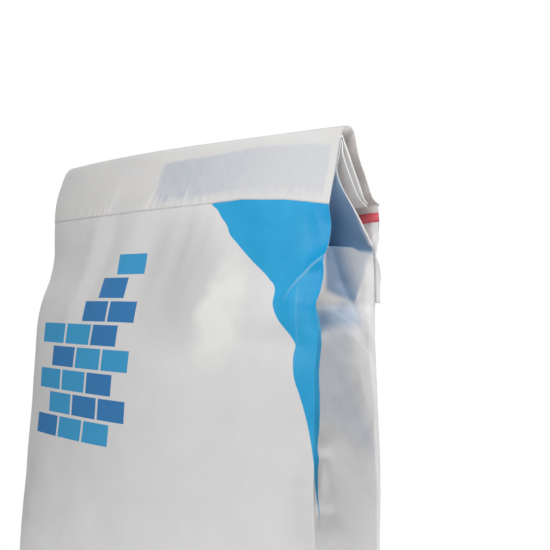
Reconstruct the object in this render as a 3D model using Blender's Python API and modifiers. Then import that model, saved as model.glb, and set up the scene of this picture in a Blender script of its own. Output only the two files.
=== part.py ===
"""A filled paper sack for dry building material, standing on its block bottom.

Metres, +Z up. The origin is the centre of the base. X runs across the sack's width, -Y is its front.
The sack is drawn as two end sections, one at each side edge, with a loft between them. Heights in the
sections are drops below the top fold.
"""

import math

import bmesh
import bpy
import numpy as np

# Driving dimensions
WIDTH = 0.400           # flat width of the paper tube
HEIGHT = 0.540          # base to top fold
SHOULDER_DROP = 0.118   # from the top fold down to where the filled body starts
PAPER_GAP = 0.0003      # between two layers that touch
BAND_THICKNESS = 0.0008
TAPE_THICKNESS = 0.0006

# How the left-hand end differs: its top corner leans in and droops
CORNER_LEAN = 0.022
CORNER_DROOP = 0.010
DROOP_START = 0.05      # x where the ridge starts to droop
LEAN_DROP = 0.080       # below this drop the left-hand edge is upright

# Where the side gusset is pushed in below the shoulder
DENT_DEPTH = 0.022
DENT_LENGTH = 0.054
GUSSET_TUCK = 0.050     # how far the gusset runs in at the pinch, near the top

COLUMNS = 17            # stations across the width
SIDE_COLUMNS = 7        # stations across a side, between its corners
HALF = WIDTH / 2

# Half depths of the filled body: (height, front left, front right, back left, back right)
BODY = (
    (0.000, 0.044, 0.050, 0.046, 0.050),
    (0.004, 0.052, 0.058, 0.054, 0.058),
    (0.014, 0.057, 0.064, 0.060, 0.064),
    (0.050, 0.058, 0.070, 0.064, 0.068),
    (0.110, 0.056, 0.073, 0.064, 0.071),
    (0.180, 0.049, 0.074, 0.060, 0.073),
    (0.240, 0.042, 0.073, 0.054, 0.069),
    (0.290, 0.038, 0.071, 0.048, 0.064),
    (0.330, 0.032, 0.068, 0.040, 0.060),
    (0.368, 0.023, 0.064, 0.030, 0.059),
    (0.396, 0.013, 0.058, 0.020, 0.058),
)

# The end sections above the shoulder, as (y, drop). Each row is one station on its way up the gable,
# over the fold and down behind: outer face, then inner face.
RIGHT_SACK = (
    ((-0.055, 0.118), (0.058, 0.118)),
    ((-0.051, 0.100), (0.037, 0.100)),
    ((-0.0475, 0.082), (0.013, 0.082)),
    ((-0.040, 0.063), (-0.015, 0.064)),
    ((-0.033, 0.046), (-0.0295, 0.048)),
    ((-0.027, 0.029), (-0.0242, 0.031)),
    ((-0.0225, 0.017), (-0.0208, 0.020)),
    ((-0.0190, 0.011), (-0.0196, 0.0185)),
    ((-0.014, 0.016), (-0.0190, 0.021)),
    ((-0.005, 0.025), (-0.0175, 0.030)),
    ((0.005, 0.0365), (-0.009, 0.0415)),
    ((0.015, 0.047), (0.001, 0.052)),
    ((0.025, 0.058), (0.011, 0.0615)),
    ((0.033, 0.067), (0.021, 0.069)),
    ((0.041, 0.0705), (0.036, 0.075)),
)
LEFT_SACK = (
    ((-0.008, 0.118), (0.016, 0.118)),
    ((-0.008, 0.100), (0.011, 0.104)),
    ((-0.008, 0.084), (0.005, 0.092)),
    ((-0.0075, 0.066), (-0.001, 0.078)),
    ((-0.0065, 0.046), (-0.0035, 0.048)),
    ((-0.0055, 0.029), (-0.0025, 0.031)),
    ((-0.0050, 0.017), (-0.0018, 0.020)),
    ((-0.0010, 0.011), (-0.0006, 0.0185)),
    ((0.004, 0.018), (0.0002, 0.022)),
    ((0.007, 0.028), (0.0015, 0.030)),
    ((0.009, 0.038), (0.0025, 0.040)),
    ((0.011, 0.050), (0.0035, 0.050)),
    ((0.013, 0.060), (0.0045, 0.060)),
    ((0.014, 0.070), (0.0055, 0.070)),
    ((0.0145, 0.0765), (0.006, 0.077)),
)

# The band's inner face past the ridge, from the front leg's top to its glued lower edge behind
RIGHT_BAND = (
    (-0.0165, 0.006), (-0.009, 0.0015), (0.001, 0.0008), (0.008, 0.0045), (0.012, 0.012), (0.017, 0.023),
    (0.024, 0.033), (0.032, 0.041), (0.039, 0.049), (0.047, 0.060), (0.058, 0.067), (0.0645, 0.0715),
    (0.0655, 0.080), (0.0655, 0.090), (0.063, 0.104), (0.0600, 0.118), (0.0600, 0.124),
)
LEFT_BAND = (
    (-0.0045, 0.008), (-0.002, 0.0025), (0.002, 0.0008), (0.006, 0.003), (0.009, 0.009), (0.012, 0.018),
    (0.014, 0.028), (0.016, 0.038), (0.017, 0.048), (0.018, 0.058), (0.019, 0.067), (0.0198, 0.0745),
    (0.0202, 0.080), (0.0206, 0.090), (0.0206, 0.104), (0.0200, 0.118), (0.0205, 0.124),
)
FRONT_LEG_STATIONS = (2, 3, 4, 5, 6)    # rows of the sack's section that the front leg lies on
TAPE_STATIONS = (12, 13)                # rows of the band's section that the tear tape lies on

# Plan of the tape's free end, which is folded back on itself: (x past the band's cut end, y)
TURN = (
    (0.0010, 0.0649), (0.0018, 0.0645), (0.0021, 0.0639), (0.0018, 0.0633), (0.0010, 0.0629),
    (-0.0030, 0.0629), (-0.0070, 0.0629),
)
TAIL_COLUMNS = 3        # of the turn's last columns, the ones that hang down as the pull tail
TAIL = (                # the pull tail below the tape: (outwards, y, drop)
    (0.0008, 0.0620, 0.098), (0.0014, 0.0604, 0.107), (0.0002, 0.0590, 0.115), (0.0000, 0.0589, 0.127),
    (0.0010, 0.0615, 0.136), (0.0018, 0.0630, 0.146), (0.0012, 0.0620, 0.158), (0.0020, 0.0630, 0.173),
)


def material(name, colour, roughness):
    """A plain finish of one colour."""
    made = bpy.data.materials.new(name)
    made.use_nodes = True
    shader = made.node_tree.nodes["Principled BSDF"]
    shader.inputs["Base Color"].default_value = (*colour, 1)
    shader.inputs["Roughness"].default_value = roughness
    shader.inputs["Metallic"].default_value = 0
    made.diffuse_color = (*colour, 1)
    return made


def open_share(u):
    """How far the sack stands open at u, from 0 at its left-hand edge to 1 at its right-hand edge."""
    return math.sin(math.pi / 2 * u) ** 0.8


def droop(x, drop):
    """How much the ridge hangs at x, fading out down the leg."""
    along = max(0.0, DROOP_START - x) / (DROOP_START + HALF)
    return CORNER_DROOP * along**2.5 * max(0.0, 1 - drop / LEAN_DROP)


def left_edge(drop):
    """x of the left-hand edge at this drop below the ridge."""
    return -HALF + CORNER_LEAN * max(0.0, 1 - drop / LEAN_DROP) ** 2.8


def across(left, right, u):
    """The point at u on the line of the loft that joins a left and a right section point."""
    share = open_share(u)
    y = left[0] + (right[0] - left[0]) * share
    drop = left[1] + (right[1] - left[1]) * share
    x = left_edge(drop) * (1 - u) + HALF * u
    return np.array((x, y, HEIGHT - drop - droop(x, drop)))


def side_points(start, end, tuck, columns=SIDE_COLUMNS):
    """Points between two corners of a side, pushed in by tuck at its middle."""
    inward = -1 if start[0] > 0 else 1
    points = []
    for column in range(1, columns + 1):
        v = column / (columns + 1)
        point = start * (1 - v) + end * v
        point[0] += inward * tuck * (1 - abs(2 * v - 1))
        points.append(point)
    return points


def ring(front, back, right_tuck, left_tuck):
    """One closed ring of the sack from its two walls, each a function of u."""
    steps = [column / (COLUMNS - 1) for column in range(COLUMNS)]
    front_wall = [front(u) for u in steps]
    back_wall = [back(u) for u in reversed(steps)]
    right_side = side_points(front_wall[-1], back_wall[0], right_tuck)
    left_side = side_points(back_wall[-1], front_wall[0], left_tuck)
    return front_wall + right_side + back_wall + left_side


def body_ring(height, front_left, front_right, back_left, back_right):
    """A level section through the filled body."""
    inset = 0.008 * max(0.0, 1 - height / 0.014)
    bulge = 0.012 * math.sin(math.pi * min(1.0, height / (HEIGHT - SHOULDER_DROP)))

    def wall(sign, left, right):
        def point(u):
            depth = left + (right - left) * open_share(u) + bulge * math.sin(math.pi * u)
            return np.array(((2 * u - 1) * (HALF - inset), sign * depth, height))

        return point

    above_dent = (height - (HEIGHT - SHOULDER_DROP - DENT_LENGTH)) / DENT_LENGTH
    dent = DENT_DEPTH * max(0.0, above_dent)
    swell = 0.006 * math.sin(math.pi * min(1.0, height / (HEIGHT - SHOULDER_DROP - DENT_LENGTH)))
    front = wall(-1, front_left, front_right)
    back = wall(1, back_left, back_right)
    return ring(front, back, dent - swell, dent / 2 - swell)


def gable_rings():
    """The rings above the shoulder, up the gable, over the fold and down to the mouth's end."""
    rings = []
    pinch = 4
    for row, (left, right) in enumerate(zip(LEFT_SACK, RIGHT_SACK)):
        share = min(1.0, row / pinch)
        tuck = DENT_DEPTH + (GUSSET_TUCK - DENT_DEPTH) * share
        rings.append(
            ring(
                lambda u: across(left[0], right[0], u),
                lambda u: across(left[1], right[1], u),
                tuck if row < pinch else 0.0,
                tuck / 4 if row < pinch else 0.0,
            )
        )
    return rings


def mesh_object(name, vertices, faces, finish, collection):
    """A mesh object from its faces, all turned to point outwards."""
    mesh = bpy.data.meshes.new(name)
    shape = bmesh.new()
    points = [shape.verts.new(vertex) for vertex in vertices]
    for face in faces:
        shape.faces.new([points[index] for index in face])
    bmesh.ops.recalc_face_normals(shape, faces=shape.faces)
    shape.to_mesh(mesh)
    shape.free()
    mesh.materials.append(finish)
    mesh.shade_smooth()
    mesh.set_sharp_from_angle(angle=math.radians(40))
    made = bpy.data.objects.new(name, mesh)
    collection.objects.link(made)
    return made


def make_sack(collection):
    """The filled sack: a loft through rings from its base to the end of its folded mouth."""
    rings = [body_ring(*row) for row in BODY] + gable_rings()
    count = len(rings[0])
    vertices = [point for one in rings for point in one]
    faces = [tuple(range(count)), tuple(range((len(rings) - 1) * count, len(rings) * count))]
    for level in range(len(rings) - 1):
        for index in range(count):
            after = (index + 1) % count
            low, high = level * count, (level + 1) * count
            faces.append((low + index, low + after, high + after, high + index))
    paper = material("sack_paper", (0.72, 0.71, 0.71), 0.55)
    return mesh_object("sack", vertices, faces, paper, collection)


def thin_sheet(name, vertices, faces, thickness, offset, finish, collection):
    """A sheet of faces with a thickness: all on its outer side at offset 1, half each side at 0."""
    mesh = bpy.data.meshes.new(name)
    mesh.from_pydata(vertices, [], faces)
    mesh.materials.append(finish)
    mesh.shade_smooth()
    made = bpy.data.objects.new(name, mesh)
    collection.objects.link(made)
    wall = made.modifiers.new("thickness", "SOLIDIFY")
    wall.thickness = thickness
    wall.offset = offset
    return made


def moved_out(section, distance):
    """The points of a front line that climbs from its lower end, moved forwards off the sack."""
    points = np.array(section)
    along = np.gradient(points, axis=0)
    along /= np.linalg.norm(along, axis=1)[:, None]
    return points + distance * np.column_stack((along[:, 1], -along[:, 0]))


def band_sections():
    """The band's inner face at each end, from its lower edge in front to its lower edge behind."""
    sections = []
    for sack, rest in ((LEFT_SACK, LEFT_BAND), (RIGHT_SACK, RIGHT_BAND)):
        leg = moved_out([sack[row][0] for row in FRONT_LEG_STATIONS], PAPER_GAP * 2)
        sections.append([*leg, *rest])
    return sections


def make_band(collection):
    """The band, as one sheet over the front leg, the ridge and the back leg."""
    left, right = band_sections()
    steps = [column / (COLUMNS - 1) for column in range(COLUMNS)]
    vertices = [across(a, b, u) for a, b in zip(left, right) for u in steps]
    faces = []
    for row in range(len(left) - 1):
        for first in range(row * COLUMNS, row * COLUMNS + COLUMNS - 1):
            faces.append((first, first + 1, first + COLUMNS + 1, first + COLUMNS))
    paper = material("band_paper", (0.74, 0.73, 0.72), 0.5)
    return thin_sheet("closure_band", vertices, faces, BAND_THICKNESS, 1, paper, collection)


def make_tape(collection):
    """The tear tape inside the band's back leg, with its free end hanging as a pull tail."""
    clear = PAPER_GAP + TAPE_THICKNESS / 2
    steps = [column / (COLUMNS - 1) for column in range(COLUMNS)]
    grid = []
    for row in TAPE_STATIONS:
        inside = [across(LEFT_BAND[row], RIGHT_BAND[row], u) - (0, clear, 0) for u in steps]
        turn = [np.array((HALF + x, y, inside[-1][2])) for x, y in TURN]
        grid.append(inside + turn)
    columns = len(grid[0])
    vertices = [point for row in grid for point in row]
    faces = [(i, i + 1, i + 1 + columns, i + columns) for i in range(columns - 1)]
    above = list(range(2 * columns - TAIL_COLUMNS, 2 * columns))
    for outwards, y, drop in TAIL:
        below = [len(vertices) + column for column in range(TAIL_COLUMNS)]
        vertices += [np.array((HALF + x + outwards, y, HEIGHT - drop)) for x, _ in TURN[-TAIL_COLUMNS:]]
        faces += [(above[i], above[i + 1], below[i + 1], below[i]) for i in range(TAIL_COLUMNS - 1)]
        above = below
    finish = material("tear_tape", (0.50, 0.09, 0.11), 0.4)
    return thin_sheet("tear_tape", vertices, faces, TAPE_THICKNESS, 0, finish, collection)


def main():
    for old in list(bpy.data.objects):
        bpy.data.objects.remove(old)
    collection = bpy.data.collections.new("paper_sack")
    bpy.context.scene.collection.children.link(collection)
    make_sack(collection)
    make_band(collection)
    make_tape(collection)


main()
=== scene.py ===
# %% [markdown]
# # A paper sack of dry building powder
# The object is a multiwall paper sack that stands on its block bottom. Its mouth is pressed flat, folded to
# the back and capped with a paper band, and a red tear tape runs inside the band. These cells build what is
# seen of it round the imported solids: the filled sack, the band, the tape, and then their paper finishes.

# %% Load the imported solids
import math

import bmesh
import bpy
import numpy as np
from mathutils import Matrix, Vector


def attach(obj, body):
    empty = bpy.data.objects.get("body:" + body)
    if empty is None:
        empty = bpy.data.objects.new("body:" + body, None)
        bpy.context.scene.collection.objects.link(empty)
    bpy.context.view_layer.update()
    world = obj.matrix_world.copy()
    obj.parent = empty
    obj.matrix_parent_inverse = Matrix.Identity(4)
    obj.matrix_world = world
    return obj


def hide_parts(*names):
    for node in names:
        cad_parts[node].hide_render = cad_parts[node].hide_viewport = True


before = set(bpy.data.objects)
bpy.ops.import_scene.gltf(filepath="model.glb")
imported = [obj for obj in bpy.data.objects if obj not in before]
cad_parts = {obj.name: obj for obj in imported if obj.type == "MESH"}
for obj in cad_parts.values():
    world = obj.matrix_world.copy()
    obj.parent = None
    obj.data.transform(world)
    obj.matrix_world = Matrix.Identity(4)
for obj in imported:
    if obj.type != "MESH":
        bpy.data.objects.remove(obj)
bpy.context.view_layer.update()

# %% [markdown]
# ## Camera, light and floor
# The sack is seen from a low camera, a little to its right, so that its top fold runs down to the left.
# White surroundings and large area lights keep every shade soft. One light stands behind the sack's
# right-hand side, so that the folded gusset at that end lies in shade. A second one fills the front, a weak
# one over the top keeps the ridge pale, and another weak one reaches the left-hand side.

# %% Camera and surroundings
SENSOR, FOCAL_PIXELS, FRAME_PIXELS = 36.0, 730, 550
CAMERA_PLACE = (0.500, -0.646, 0.377)
CAMERA_PITCH, CAMERA_TURN = 91.45, 30.84
WORLD_LIGHT, WORLD_SEEN = 0.13, 1.0     # what lights the sack, and what the camera sees behind it

scene = bpy.context.scene
scene.view_settings.view_transform = "Standard"


def new_object(name, data):
    """An object at the world's origin."""
    made = bpy.data.objects.new(name, data)
    scene.collection.objects.link(made)
    return made


camera = new_object("camera", bpy.data.cameras.new("camera"))
camera.data.sensor_width = SENSOR
camera.data.lens = SENSOR * FOCAL_PIXELS / FRAME_PIXELS
camera.location = CAMERA_PLACE
camera.rotation_euler = (math.radians(CAMERA_PITCH), 0, math.radians(CAMERA_TURN))
scene.camera = camera

world = bpy.data.worlds.new("studio")
scene.world = world
world.use_nodes = True
world_nodes, world_links = world.node_tree.nodes, world.node_tree.links
surround = world_nodes["Background"]
surround.inputs["Color"].default_value = (1, 1, 1, 1)
seen = world_nodes.new("ShaderNodeLightPath")
backdrop = world_nodes.new("ShaderNodeMix")
backdrop.data_type = "FLOAT"
backdrop.inputs[2].default_value = WORLD_LIGHT
backdrop.inputs[3].default_value = WORLD_SEEN
world_links.new(seen.outputs["Is Camera Ray"], backdrop.inputs[0])
world_links.new(backdrop.outputs[0], surround.inputs["Strength"])
print("camera lens", round(camera.data.lens, 2), "mm")

# %% Lights and floor
# degrees from the front towards the right, elevation, distance, size, power, target
LIGHTS = {
    "key_light": (147, 30, 0.95, 0.35, 9.4, (0.20, 0, 0.36)),
    "top_light": (235, 62, 1.3, 0.8, 3.5, (-0.05, 0, 0.45)),
    "fill_light": (3, 30, 1.05, 0.45, 8.2, (0.26, 0, 0.36)),
    "left_light": (250, 25, 1.3, 0.6, 2.6, (-0.20, 0, 0.28)),
}
for light_name, (towards, elevation, distance, size, power, target) in LIGHTS.items():
    lamp = bpy.data.lights.new(light_name, "AREA")
    lamp.size, lamp.energy = size, power
    turn, climb = math.radians(towards), math.radians(elevation)
    way = Vector((math.sin(turn) * math.cos(climb), -math.cos(turn) * math.cos(climb), math.sin(climb)))
    softbox = new_object(light_name, lamp)
    softbox.location = Vector(target) + way * distance
    softbox.rotation_euler = way.to_track_quat("Z", "Y").to_euler()

floor_mesh = bpy.data.meshes.new("floor")
floor_mesh.from_pydata([(-1, -1, 0), (1, -1, 0), (1, 1, 0), (-1, 1, 0)], [], [(0, 1, 2, 3)])
floor = new_object("floor", floor_mesh)
print(len(LIGHTS), "lights and a floor")

# %% [markdown]
# ## Writing shader maths as Python
# A material is a network of small nodes. Written out one by one, even a short formula takes many lines.
# Here a socket is wrapped in a small class whose operators add the Math nodes, so that a mask can be written
# as the expression that it is. Every other node comes from one method that takes its type, settings and
# sockets.


# %% A wrapped socket and a paint pot
class Value:
    """A number that changes over the surface: a socket whose operators add Math nodes."""

    def __init__(self, paint, socket):
        self.paint, self.socket = paint, socket

    def _with(self, operation, *others):
        made = self.paint.node("ShaderNodeMath", {"operation": operation}, dict(enumerate((self, *others))))
        return Value(self.paint, made.outputs[0])

    def __add__(self, other):
        return self._with("ADD", other)

    def __radd__(self, other):
        return self + other

    def __sub__(self, other):
        return self._with("SUBTRACT", other)

    def __rsub__(self, other):
        return self * -1 + other

    def __mul__(self, other):
        return self._with("MULTIPLY", other)

    def __truediv__(self, other):
        return self._with("DIVIDE", other)

    def above(self, edge, blur=0.0004):
        """0 below the edge and 1 above it, with a narrow rise between them."""
        return ((self - edge) / blur + 0.5).clamped()

    def clamped(self):
        return self.paint.number("ShaderNodeClamp", {}, {"Value": self})

    def around(self, middle, half):
        """1 at a middle value, falling in a round curve to 0 at half a width from it."""
        return (1 - (self - middle) * (self - middle) / (half * half)).clamped()

    def floor(self):
        return self._with("FLOOR")

    def fraction(self):
        return self._with("FRACT")


def add_node(tree, kind, settings, sockets):
    """Any node: its type, its settings and the values or links of its sockets."""
    made = tree.nodes.new(kind)
    for name, value in settings.items():
        setattr(made, name, value)
    for name, value in sockets.items():
        if isinstance(value, Value):
            value = value.socket
        if isinstance(value, bpy.types.NodeSocket):
            tree.links.new(value, made.inputs[name])
        else:
            made.inputs[name].default_value = value
    return made


class Paint:
    """A material being written, with its Principled shader."""

    def __init__(self, name, roughness):
        self.material = bpy.data.materials.new(name)
        self.material.use_nodes = True
        self.tree = self.material.node_tree
        self.shader = self.tree.nodes["Principled BSDF"]
        self.set("Roughness", roughness)
        self.set("Specular IOR Level", 0.3)

    def set(self, name, value):
        """A value or a link for one of the shader's sockets."""
        if isinstance(value, bpy.types.NodeSocket):
            self.tree.links.new(value, self.shader.inputs[name])
        else:
            self.shader.inputs[name].default_value = value

    def node(self, kind, settings, sockets):
        """Any node of this material."""
        return add_node(self.tree, kind, settings, sockets)

    def number(self, kind, settings, sockets, output=0):
        return Value(self, self.node(kind, settings, sockets).outputs[output])

    def stored(self, name):
        """A number that is stored on the mesh."""
        return self.number("ShaderNodeAttribute", {"attribute_name": name}, {}, "Fac")

    def sheet(self):
        """Flat coordinates across and along the paper."""
        place = self.node("ShaderNodeUVMap", {"uv_map": "sheet"}, {})
        apart = self.node("ShaderNodeSeparateXYZ", {}, {0: place.outputs[0]})
        return Value(self, apart.outputs[0]), Value(self, apart.outputs[1])

    def grain(self, scale, stretch=(1, 1, 1), detail=2.0):
        """Noise on the object, from 0 to 1, stretched along the axes."""
        place = self.node("ShaderNodeTexCoord", {}, {})
        sized = self.node("ShaderNodeMapping", {}, {"Vector": place.outputs["Object"], "Scale": stretch})
        return self.number("ShaderNodeTexNoise", {}, {
            "Vector": sized.outputs[0], "Scale": scale, "Detail": detail,
        })

    def blended(self, low, high, share, blend="MIX"):
        """Two colours mixed by a share."""
        settings = {"data_type": "RGBA", "blend_type": blend}
        return self.node("ShaderNodeMix", settings, {0: share, 6: low, 7: high}).outputs[2]

    def bumps(self, height, distance):
        made = self.node("ShaderNodeBump", {}, {"Height": height, "Distance": distance, "Strength": 0.5})
        self.set("Normal", made.outputs[0])


print("shader helpers ready")

# %% The floor's finish
FLOOR_SOLID, FLOOR_GONE = 0.26, 0.62    # how far from the middle it starts to fade, and where it has gone
studio_floor = Paint("floor", 0.9)
studio_floor.set("Base Color", (0.80, 0.80, 0.80, 1))
studio_floor.set("Emission Color", (1, 1, 1, 1))
studio_floor.set("Emission Strength", 0.40)
place = studio_floor.node("ShaderNodeTexCoord", {}, {}).outputs["Object"]
away = studio_floor.node("ShaderNodeVectorMath", {"operation": "LENGTH"}, {0: place}).outputs["Value"]
studio_floor.set("Alpha", studio_floor.node("ShaderNodeMapRange", {"interpolation_type": "SMOOTHSTEP"}, {
    "Value": away, "From Min": FLOOR_SOLID, "From Max": FLOOR_GONE, "To Min": 1.0, "To Max": 0.0,
}).outputs[0])
floor_mesh.materials.append(studio_floor.material)
print("floor fades into the white surroundings")

# %% [markdown]
# ## The shape of the sack
# A side-gusseted sack is one paper tube. Below, powder fills it out. Above, its front and back slope together
# like a gable, the gussets fold inwards, and the flattened mouth turns over to the back. A loft describes all
# of this at once: one closed ring of paper is carried from the base up the gable, over the fold and down
# behind. Only its two end sections are listed, and every ring in between follows from them.

# %% The end sections
HALF = 0.200            # half the tube's flat width
HEIGHT = 0.540          # base to top fold
SHOULDER = 0.422        # height at which the filled body ends
SIDE_TOP = SHOULDER - 0.054     # height at which the sides' outward swell ends
BULGE, SWELL = 0.012, 0.0050    # how far powder pushes the walls and the sides out between the edges
BASE_INSET, BASE_ROUND = 0.008, 0.014   # how far the walls draw in at the base, and over which height


def mm(*rows):
    """A table in millimetres, turned into metres."""
    return np.array(rows) / 1000


# height, front left, front right, back left, back right (half depths)
BODY = mm(
    (0, 44, 50, 46, 50), (4, 52, 58, 54, 58), (14, 57, 64, 60, 64), (50, 58, 70, 64, 68),
    (110, 56, 73, 64, 71), (180, 49, 74, 60, 73), (240, 42, 73, 54, 69), (290, 38, 71, 48, 64),
    (330, 32, 68, 40, 60), (368, 23, 64, 30, 59), (396, 13, 58, 20, 58),
)
# outer y and drop, inner y and drop, up the gable, over the fold and down behind
RIGHT_SACK = mm(
    (-55, 118, 58, 118), (-51, 100, 37, 100), (-47.5, 82, 13, 82), (-40, 63, -15, 64), (-33, 46, -29.5, 48),
    (-27, 29, -24.2, 31), (-22.5, 17, -20.8, 20), (-19, 11, -19.6, 18.5), (-14, 16, -19, 21),
    (-5, 25, -17.5, 30), (5, 36.5, -9, 41.5), (15, 47, 1, 52), (25, 58, 11, 61.5), (33, 67, 21, 69),
    (41, 70.5, 40, 75.2),
)
LEFT_SACK = mm(
    (-8, 118, 16, 118), (-8, 100, 11, 104), (-8, 84, 5, 92), (-7.5, 66, -1, 78), (-6.5, 46, -3.5, 48),
    (-5.5, 29, -2.5, 31), (-5, 17, -1.8, 20), (-1, 11, -0.6, 18.5), (4, 18, 0.2, 22), (7, 28, 1.5, 30),
    (9, 38, 2.5, 40), (11, 50, 3.5, 50), (13, 60, 4.5, 60), (14, 70, 5.5, 70), (14.5, 76.5, 6, 77),
)
PINCH = len(BODY) + 4       # the row where front and back first touch
FLAP_START = PINCH + 1.5    # the row where the mouth turns over to the back


def end_sections():
    """One row per station: front and back wall as (y, height) at the left and right end, bulge and inset."""
    rows = []
    for height, front_left, front_right, back_left, back_right in BODY:
        bulge = BULGE * math.sin(math.pi * height / SHOULDER)
        inset = BASE_INSET * max(0.0, 1 - height / BASE_ROUND)
        front = (-front_left, height, -front_right, height)
        rows.append((*front, back_left, height, back_right, height, bulge, inset))
    for left, right in zip(LEFT_SACK, RIGHT_SACK):
        front = (left[0], HEIGHT - left[1], right[0], HEIGHT - right[1])
        back = (left[2], HEIGHT - left[3], right[2], HEIGHT - right[3])
        rows.append((*front, *back, 0, 0))
    return np.array(rows)


STATIONS = end_sections()
print(len(STATIONS), "stations from the base to the end of the mouth")


# %% Curves through the tables, and rules across the width
def through(table, at):
    """A smooth curve through a table's rows, read at fractional row numbers."""
    table = np.asarray(table, dtype=float)
    low = np.clip(np.floor(at).astype(int), 0, len(table) - 2)
    share = (at - low)[..., None]
    before, start = table[np.maximum(low - 1, 0)], table[low]
    end, after = table[low + 1], table[np.minimum(low + 2, len(table) - 1)]
    linear = (end - before) * share
    square = (2 * before - 5 * start + 4 * end - after) * share**2
    cube = (3 * start - before - 3 * end + after) * share**3
    return start + 0.5 * (linear + square + cube)


def soft_step(low, high, value):
    """0 below low, 1 above high and a smooth rise between them."""
    share = np.clip((value - low) / (high - low), 0, 1)
    return share * share * (3 - 2 * share)


def bell(value, width):
    """1 at 0, with a smooth fall over a width on both sides."""
    return np.exp(-((value / width) ** 2))


def read(table, at, column=1):
    """A table's column, read in straight lines between its rows at values of its first column."""
    return np.interp(at, table[:, 0], table[:, column])


def open_share(u):
    """How far the sack stands open, from 0 at its left-hand edge to 1 at its right-hand edge."""
    return np.sin(np.pi / 2 * np.clip(u, 0, 1)) ** 0.8


TOP_ZONE = 0.080        # drop over which the ridge's left-hand corner leans in and hangs
LEAN, DROOP = 0.022, 0.010
DROOP_START = 0.05      # x at which the ridge starts to hang


def left_edge(drop):
    """x of the left-hand edge, which leans in towards the top."""
    return -HALF + LEAN * np.clip(1 - drop / TOP_ZONE, 0, 1) ** 2.8


def droop(x, drop):
    """How much the ridge hangs towards its left-hand corner."""
    along = np.clip(DROOP_START - x, 0, None) / (DROOP_START + HALF)
    return DROOP * along**2.5 * np.clip(1 - drop / TOP_ZONE, 0, 1)


def across(section, u):
    """Lofted points between the (y, z) of a left-hand and of a right-hand section point."""
    left_y, left_z, right_y, right_z = np.moveaxis(section, -1, 0)
    share = open_share(u)
    y = left_y + (right_y - left_y) * share
    z = left_z + (right_z - left_z) * share
    x = left_edge(HEIGHT - z) * (1 - u) + HALF * u
    return np.stack((x, y, z - droop(x, HEIGHT - z)), axis=-1)


print("the ridge leans in by", round(1000 * float(left_edge(0) + HALF)), "mm at its left-hand end")


# %% [markdown]
# ## Folds and dents
# Paper doesn't stretch, so a filled sack is made of flat facets that meet in creases. Each crease is listed
# as a line with a height, and the paper beside it falls away on both sides like a tent. Soft folds use a
# rounder profile. Lines are easier to place and to change than sculpted points, and they give the same result
# each time.

# %% Creases as lines with a height
def beside(line, along, over):
    """Signed distance from a line of (z, place, height) rows to each place, and the line's height there."""
    best = np.full(along.shape, 1e9)
    signed, place = np.zeros(along.shape), np.zeros(along.shape)
    for number, (first, last) in enumerate(zip(line[:-1], line[1:])):
        way = last[:2] - first[:2]
        length = np.hypot(*way)
        way = way / length
        share = np.clip(((along - first[0]) * way[0] + (over - first[1]) * way[1]) / length, 0, 1)
        dz = along - (first[0] + way[0] * length * share)
        dx = over - (first[1] + way[1] * length * share)
        gap = np.hypot(dz, dx)
        side = np.sign(way[0] * dx - way[1] * dz)
        nearer = gap < best
        best = np.where(nearer, gap, best)
        signed = np.where(nearer, gap * side, signed)
        place = np.where(nearer, number + share, place)
    return signed, np.interp(place, np.arange(len(line)), line[:, 2])


def crease(line, z, x, left, right, power):
    """A raised crease: line rows are (z, x, height), and left and right are how far it reaches."""
    signed, height = beside(line, z, x)
    reach = np.where(signed < 0, left, right)
    return height * np.clip(1 - np.abs(signed) / reach, 0, 1) ** power


def soft_fold(line, z, x, width):
    """A soft fold of the same kind of line, round across."""
    signed, height = beside(line, z, x)
    return height * bell(signed, width)


def lines(*rows):
    """A crease's line from its drops below the top fold, places and heights, in millimetres."""
    line = mm(*rows)
    line[:, 0] = HEIGHT - line[:, 0]
    return line


SHOULDER_CREASE = lines(
    (118, 211, 2), (128, 200, 3.2), (138, 188, 4), (150, 177, 4), (160, 171, 2.2), (172, 165, 0.2),
)
CORNER_CREASE = lines(
    (146, 177, 0), (158, 179, 3.4), (170, 180.5, 4.4), (204, 180.5, 3.8), (211, 180, 3.4), (236, 178.5, 4),
    (257, 175, 3.8), (287, 172, 3.4), (340, 169, 2.2), (410, 170, 0.4),
)
PANEL_CREASE = lines(
    (80, 183, 0.4), (92, 187, 1.2), (104, 190, 1.4), (117, 194, 0.8),
)
# each crease's line, how far it reaches to its left and its right, and how sharp it is
FRONT_CREASES = (
    (SHOULDER_CREASE, 0.026, 0.016, 2.0), (CORNER_CREASE, 0.075, 0.027, 1.4),
    (PANEL_CREASE, 0.012, 0.010, 1.1),
)
# Below the shoulder, powder pushes the panel's right-hand part forward. These are how far it does, between
# which drops that starts, eases off by a share and ends, and between which places it starts and ends
BELLY, BELLY_EASED = 0.0062, 0.75
BELLY_STARTS, BELLY_EASES, BELLY_ENDS = (0.144, 0.172), (0.182, 0.214), (0.260, 0.420)
BELLY_LEFT, BELLY_RIGHT = (0.080, 0.148), (0.170, 0.199)
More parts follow.
